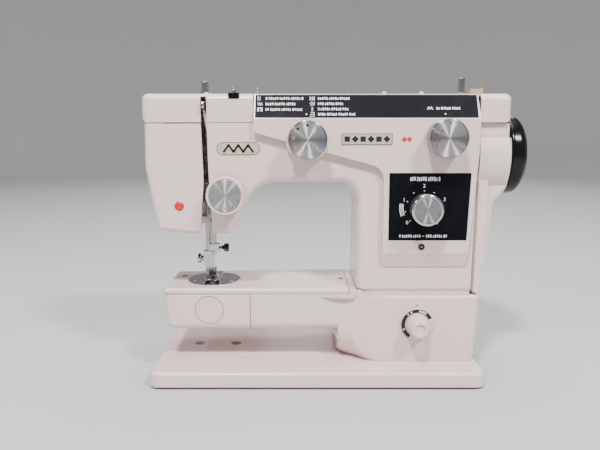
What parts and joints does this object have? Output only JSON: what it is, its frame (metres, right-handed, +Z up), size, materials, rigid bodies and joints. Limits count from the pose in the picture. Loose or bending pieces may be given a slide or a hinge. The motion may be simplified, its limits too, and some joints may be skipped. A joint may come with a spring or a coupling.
{
  "type": "sewing machine",
  "caption": "Free-arm zigzag sewing machine on a base plate: working handwheel, needle, presser foot, take-up, hook, hinged covers and turning dials.",
  "frame": {"origin": "on the surface the machine stands on, at the middle of its bounding box in plan", "axes": "+X from the needle head to the handwheel, +Y away from the operator, +Z up"},
  "size_m": [0.397, 0.168, 0.3185],
  "materials": {
    "cream_enamel": "gloss enamel",
    "cream_plastic": "gloss moulded plastic",
    "black_plastic": "gloss moulded plastic",
    "dark_plastic": "satin moulded plastic",
    "printed_black": "printed satin plate",
    "spun_aluminium": "spun concentric face",
    "cast_aluminium": "as cast",
    "chrome_steel": "bright plated",
    "steel": "ground",
    "polished_steel": "polished",
    "bronze": "sintered",
    "rubber": "matt",
    "red_plastic": "gloss",
    "tan_plastic": "translucent tan",
    "bulb_glass": "clear",
    "badge": "printed badge"
  },
  "bodies": {
    "body": {"base_plate": "cream_enamel", "rubber_feet": "rubber", "lower_housing": "cream_enamel", "power_inlet": "dark_plastic", "bed_plate": "cream_enamel", "needle_plate": "polished_steel", "screws_and_pins": "steel", "bobbin_case": "polished_steel", "belts": "rubber", "shaft_bushes": "bronze", "motor": "dark_plastic", "arm_casting": "cream_enamel", "rear_cover": "cream_plastic", "top_cover": "cream_plastic", "front_panel": "cream_plastic", "printed_plates": "printed_black", "badges": "badge", "lamp_fittings": "dark_plastic", "lamp_bulb": "bulb_glass", "slot_trim": "black_plastic", "side_cover": "cream_plastic", "presser_spring": "steel", "tension_discs": "polished_steel", "stitch_cams": "dark_plastic", "thread_guides": "chrome_steel"},
    "main_shaft_group": {"main_shaft": "steel", "main_shaft_pulleys": "cast_aluminium", "handwheel": "black_plastic"},
    "clutch_knob": {"clutch_knob": "chrome_steel"},
    "lower_shaft_group": {"lower_shaft": "steel"},
    "hook_group": {"rotary_hook": "polished_steel"},
    "bobbin": {"bobbin": "polished_steel"},
    "motor_rotor": {"motor_rotor": "steel"},
    "needle_bar_link": {"needle_bar_link": "steel"},
    "needle_bar_frame": {"needle_bar_frame": "cast_aluminium"},
    "needle_bar_group": {"needle_bar": "steel", "needle_clamp": "chrome_steel", "needle": "polished_steel"},
    "needle_clamp_screw": {"needle_clamp_screw": "black_plastic"},
    "take_up_lever": {"take_up_lever": "chrome_steel"},
    "presser_group": {"presser_bar": "steel", "presser_foot": "chrome_steel"},
    "presser_foot_screw": {"presser_foot_screw": "chrome_steel"},
    "presser_lifter": {"presser_lifter": "chrome_steel"},
    "pressure_regulator": {"pressure_regulator": "chrome_steel"},
    "face_cover": {"face_cover": "cream_enamel"},
    "light_switch_button": {"light_switch_button": "red_plastic"},
    "hook_cover": {"hook_cover": "cream_enamel"},
    "feed_bar": {"feed_bar": "steel"},
    "feed_dog": {"feed_dog": "steel"},
    "pattern_dial": {"pattern_dial": "spun_aluminium"},
    "stitch_width_dial": {"stitch_width_dial": "spun_aluminium"},
    "tension_dial": {"tension_dial": "cream_plastic"},
    "reverse_plunger": {"reverse_plunger": "steel"},
    "stitch_length_knob": {"stitch_length_knob": "spun_aluminium"},
    "drop_feed_dial": {"drop_feed_dial": "cream_plastic"},
    "spool_pin_left": {"spool_pin_left": "cream_plastic"},
    "spool_pin_right": {"spool_pin_right": "cream_plastic"},
    "bobbin_winder_spindle": {"bobbin_winder_spindle": "chrome_steel"},
    "bobbin_winder_stop": {"bobbin_winder_stop": "tan_plastic"}
  },
  "joints": [
    {"name": "main_shaft_turn", "type": "hinge", "parent": "body", "child": "main_shaft_group", "pos_m": [0, -0.006, 0.2383], "axis": [1, 0, 0], "continuous": true},
    {"name": "clutch_knob_turn", "type": "hinge", "parent": "main_shaft_group", "child": "clutch_knob", "pos_m": [0.19, -0.006, 0.2383], "axis": [1, 0, 0], "range_deg": [0, 150]},
    {"name": "lower_shaft_turn", "type": "hinge", "parent": "body", "child": "lower_shaft_group", "pos_m": [0, 0.014, 0.0746], "axis": [1, 0, 0], "continuous": true},
    {"name": "hook_turn", "type": "hinge", "parent": "body", "child": "hook_group", "pos_m": [-0.1345, 0, 0.0746], "axis": [0, 1, 0], "continuous": true},
    {"name": "bobbin_turn", "type": "hinge", "parent": "body", "child": "bobbin", "pos_m": [-0.1345, -0.019, 0.0746], "axis": [0, 1, 0], "continuous": true},
    {"name": "motor_turn", "type": "hinge", "parent": "body", "child": "motor_rotor", "pos_m": [0.15, 0, 0.142], "axis": [1, 0, 0], "continuous": true},
    {"name": "needle_bar_link_turn", "type": "hinge", "parent": "main_shaft_group", "child": "needle_bar_link", "pos_m": [-0.1192, -0.006, 0.2493], "axis": [1, 0, 0], "continuous": true},
    {"name": "needle_swing", "type": "hinge", "parent": "body", "child": "needle_bar_frame", "pos_m": [-0.1345, 0.002, 0.2665], "axis": [0, 1, 0], "range_deg": [-0.9, 0.9]},
    {"name": "needle_bar_slide", "type": "slide", "parent": "needle_bar_frame", "child": "needle_bar_group", "axis": [0, 0, 1], "range_m": [-0.022, 0]},
    {"name": "needle_clamp_screw_turn", "type": "hinge", "parent": "needle_bar_group", "child": "needle_clamp_screw", "pos_m": [-0.1225, -0.006, 0.1345], "axis": [1, 0, 0], "range_deg": [0, 180]},
    {"name": "take_up_swing", "type": "hinge", "parent": "body", "child": "take_up_lever", "pos_m": [-0.135, -0.02, 0.262], "axis": [1, 0, 0], "range_deg": [0, 88]},
    {"name": "presser_lifter_turn", "type": "hinge", "parent": "body", "child": "presser_lifter", "pos_m": [-0.1425, 0.03, 0.191], "axis": [0, 1, 0], "range_deg": [0, 75]},
    {"name": "presser_bar_slide", "type": "slide", "parent": "body", "child": "presser_group", "axis": [0, 0, 1], "range_m": [0, 0.00501], "deforming": ["presser_spring"]},
    {"name": "presser_foot_screw_turn", "type": "hinge", "parent": "presser_group", "child": "presser_foot_screw", "pos_m": [-0.152, 0.0095, 0.119], "axis": [1, 0, 0], "range_deg": [-180, 0]},
    {"name": "pressure_regulator_slide", "type": "slide", "parent": "body", "child": "pressure_regulator", "axis": [0, 0, 1], "range_m": [-0.008, 0]},
    {"name": "face_cover_swing", "type": "hinge", "parent": "body", "child": "face_cover", "pos_m": [-0.1915, 0.024, 0.22], "axis": [0, 0, 1], "range_deg": [-100, 0]},
    {"name": "light_switch_press", "type": "slide", "parent": "face_cover", "child": "light_switch_button", "axis": [0, 1, 0], "range_m": [0, 0.002], "stiffness_N_per_m": 300},
    {"name": "hook_cover_swing", "type": "hinge", "parent": "body", "child": "hook_cover", "pos_m": [-0.1765, 0.022, 0.073], "axis": [0, 0, 1], "range_deg": [-100, 0]},
    {"name": "feed_advance", "type": "slide", "parent": "body", "child": "feed_bar", "axis": [0, 1, 0], "range_m": [-0.002, 0.002]},
    {"name": "feed_lift", "type": "slide", "parent": "feed_bar", "child": "feed_dog", "axis": [0, 0, 1], "range_m": [-0.0026, 0]},
    {"name": "pattern_dial_turn", "type": "hinge", "parent": "body", "child": "pattern_dial", "pos_m": [-0.0299, -0.06, 0.2552], "axis": [0, 1, 0], "range_deg": [-160, 160]},
    {"name": "stitch_width_turn", "type": "hinge", "parent": "body", "child": "stitch_width_dial", "pos_m": [0.1088, -0.06, 0.2568], "axis": [0, 1, 0], "range_deg": [0, 120]},
    {"name": "tension_turn", "type": "hinge", "parent": "body", "child": "tension_dial", "pos_m": [-0.113, -0.06, 0.1995], "axis": [0, 1, 0], "range_deg": [-150, 150]},
    {"name": "reverse_press", "type": "slide", "parent": "body", "child": "reverse_plunger", "axis": [0, 1, 0], "range_m": [0, 0.005], "stiffness_N_per_m": 400},
    {"name": "stitch_length_turn", "type": "hinge", "parent": "reverse_plunger", "child": "stitch_length_knob", "pos_m": [0.0892, -0.07, 0.1864], "axis": [0, 1, 0], "range_deg": [-60, 120]},
    {"name": "drop_feed_turn", "type": "hinge", "parent": "body", "child": "drop_feed_dial", "pos_m": [0.0875, -0.06, 0.06], "axis": [0, 1, 0], "range_deg": [-90, 0]},
    {"name": "spool_pin_left_raise", "type": "slide", "parent": "body", "child": "spool_pin_left", "axis": [0, 0, 1], "range_m": [0, 0.036]},
    {"name": "spool_pin_right_raise", "type": "slide", "parent": "body", "child": "spool_pin_right", "axis": [0, 0, 1], "range_m": [0, 0.036]},
    {"name": "bobbin_winder_turn", "type": "hinge", "parent": "body", "child": "bobbin_winder_spindle", "pos_m": [0.132, -0.024, 0.305], "axis": [0, 0, 1], "continuous": true},
    {"name": "winder_stop_turn", "type": "hinge", "parent": "body", "child": "bobbin_winder_stop", "pos_m": [0.1475, -0.024, 0.305], "axis": [0, 0, 1], "range_deg": [-20, 20]}
  ],
  "couplings": [
    {"joint": "lower_shaft_turn", "follows": "main_shaft_turn", "ratio": 1},
    {"joint": "hook_turn", "follows": "main_shaft_turn", "ratio": -2},
    {"joint": "motor_turn", "follows": "main_shaft_turn", "ratio": 4.2374},
    {"joint": "needle_bar_link_turn", "follows": "main_shaft_turn", "ratio": -1},
    {"joint": "presser_bar_slide", "follows": "presser_lifter_turn", "m_per_rad": 0.00382}
  ]
}
